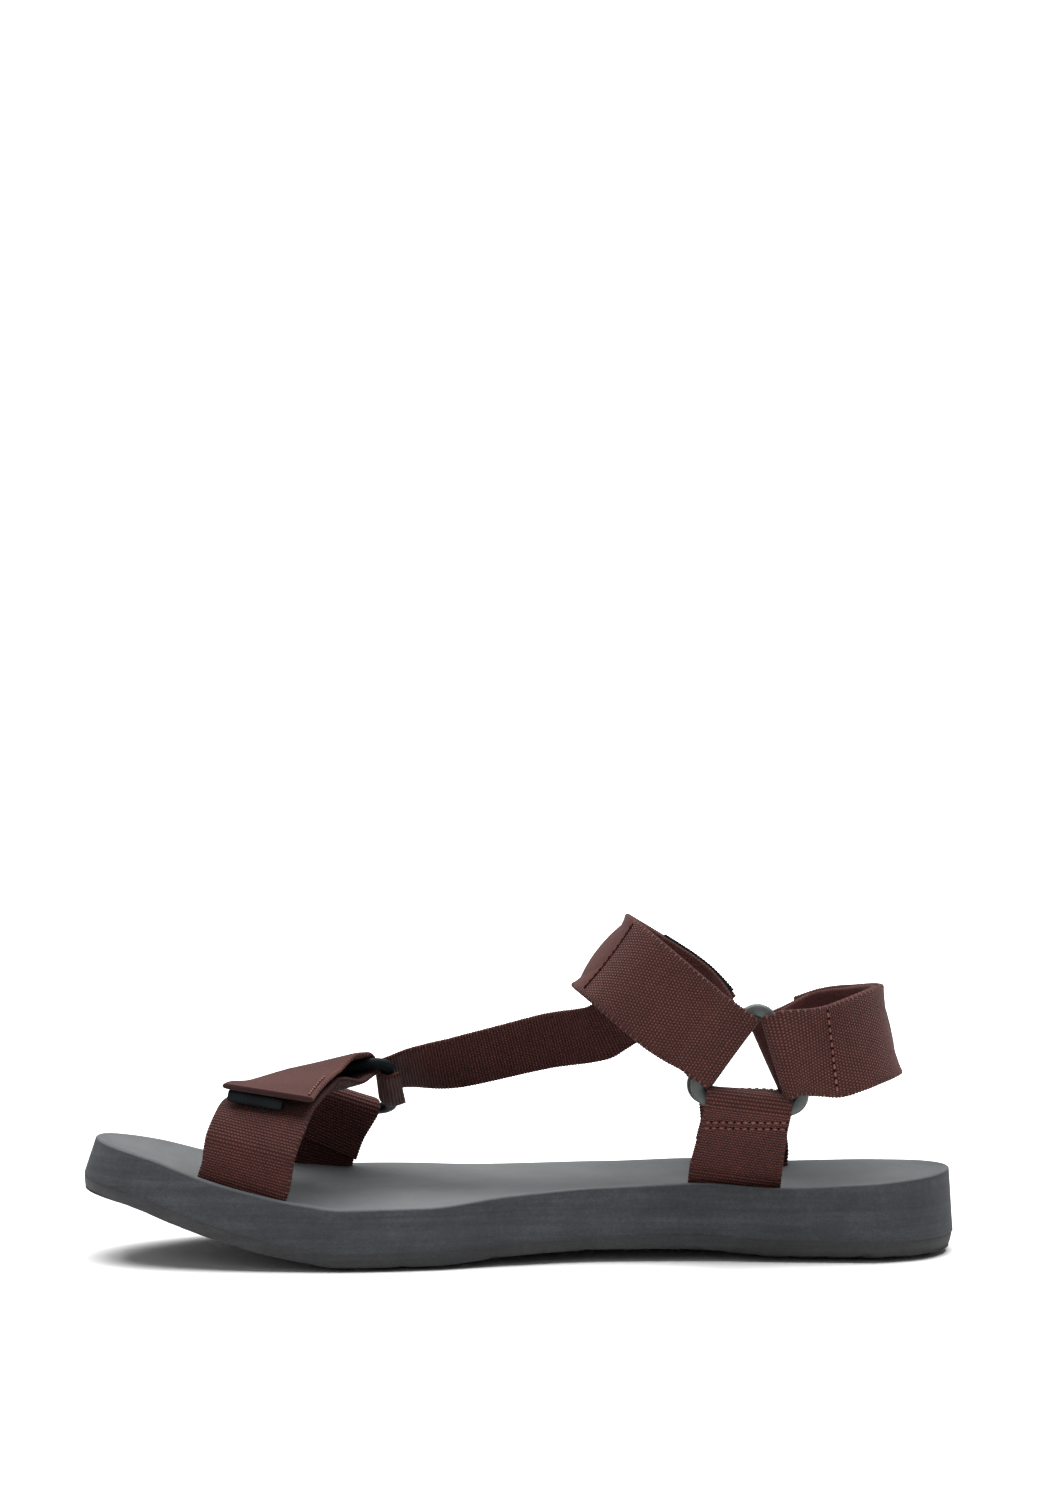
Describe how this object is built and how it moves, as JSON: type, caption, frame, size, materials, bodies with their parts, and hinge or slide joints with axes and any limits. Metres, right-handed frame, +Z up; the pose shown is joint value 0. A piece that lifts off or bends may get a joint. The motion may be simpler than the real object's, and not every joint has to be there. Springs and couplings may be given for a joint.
{
  "type": "sports sandal",
  "caption": "Right-foot sports sandal: flat foam sole with a thin ribbed tread, webbing straps over forefoot, instep and heel, joined at plastic rings.",
  "frame": {"origin": "on the ground under the centre of the object's box", "axes": "+X towards the heel, +Y towards the outer (lateral) side, +Z up"},
  "size_m": [0.284, 0.104, 0.1115],
  "materials": {
    "foam": "matt grey foam with a fine grain",
    "rubber": "matt dark grey",
    "webbing": "ribbed brown webbing",
    "grey_plastic": "satin grey-green",
    "black_plastic": "satin black"
  },
  "bodies": {
    "root": {"outsole": "rubber", "midsole": "foam", "toe_strap": "webbing", "toe_strap_end_bar": "black_plastic", "toe_ring": "black_plastic", "toe_anchor_lateral": "webbing", "side_strap": "webbing", "ankle_ring_medial": "grey_plastic", "ankle_ring_lateral": "grey_plastic", "rear_anchor_medial": "webbing", "rear_anchor_lateral": "webbing", "instep_strap": "webbing", "heel_strap": "webbing"}
  },
  "joints": []
}
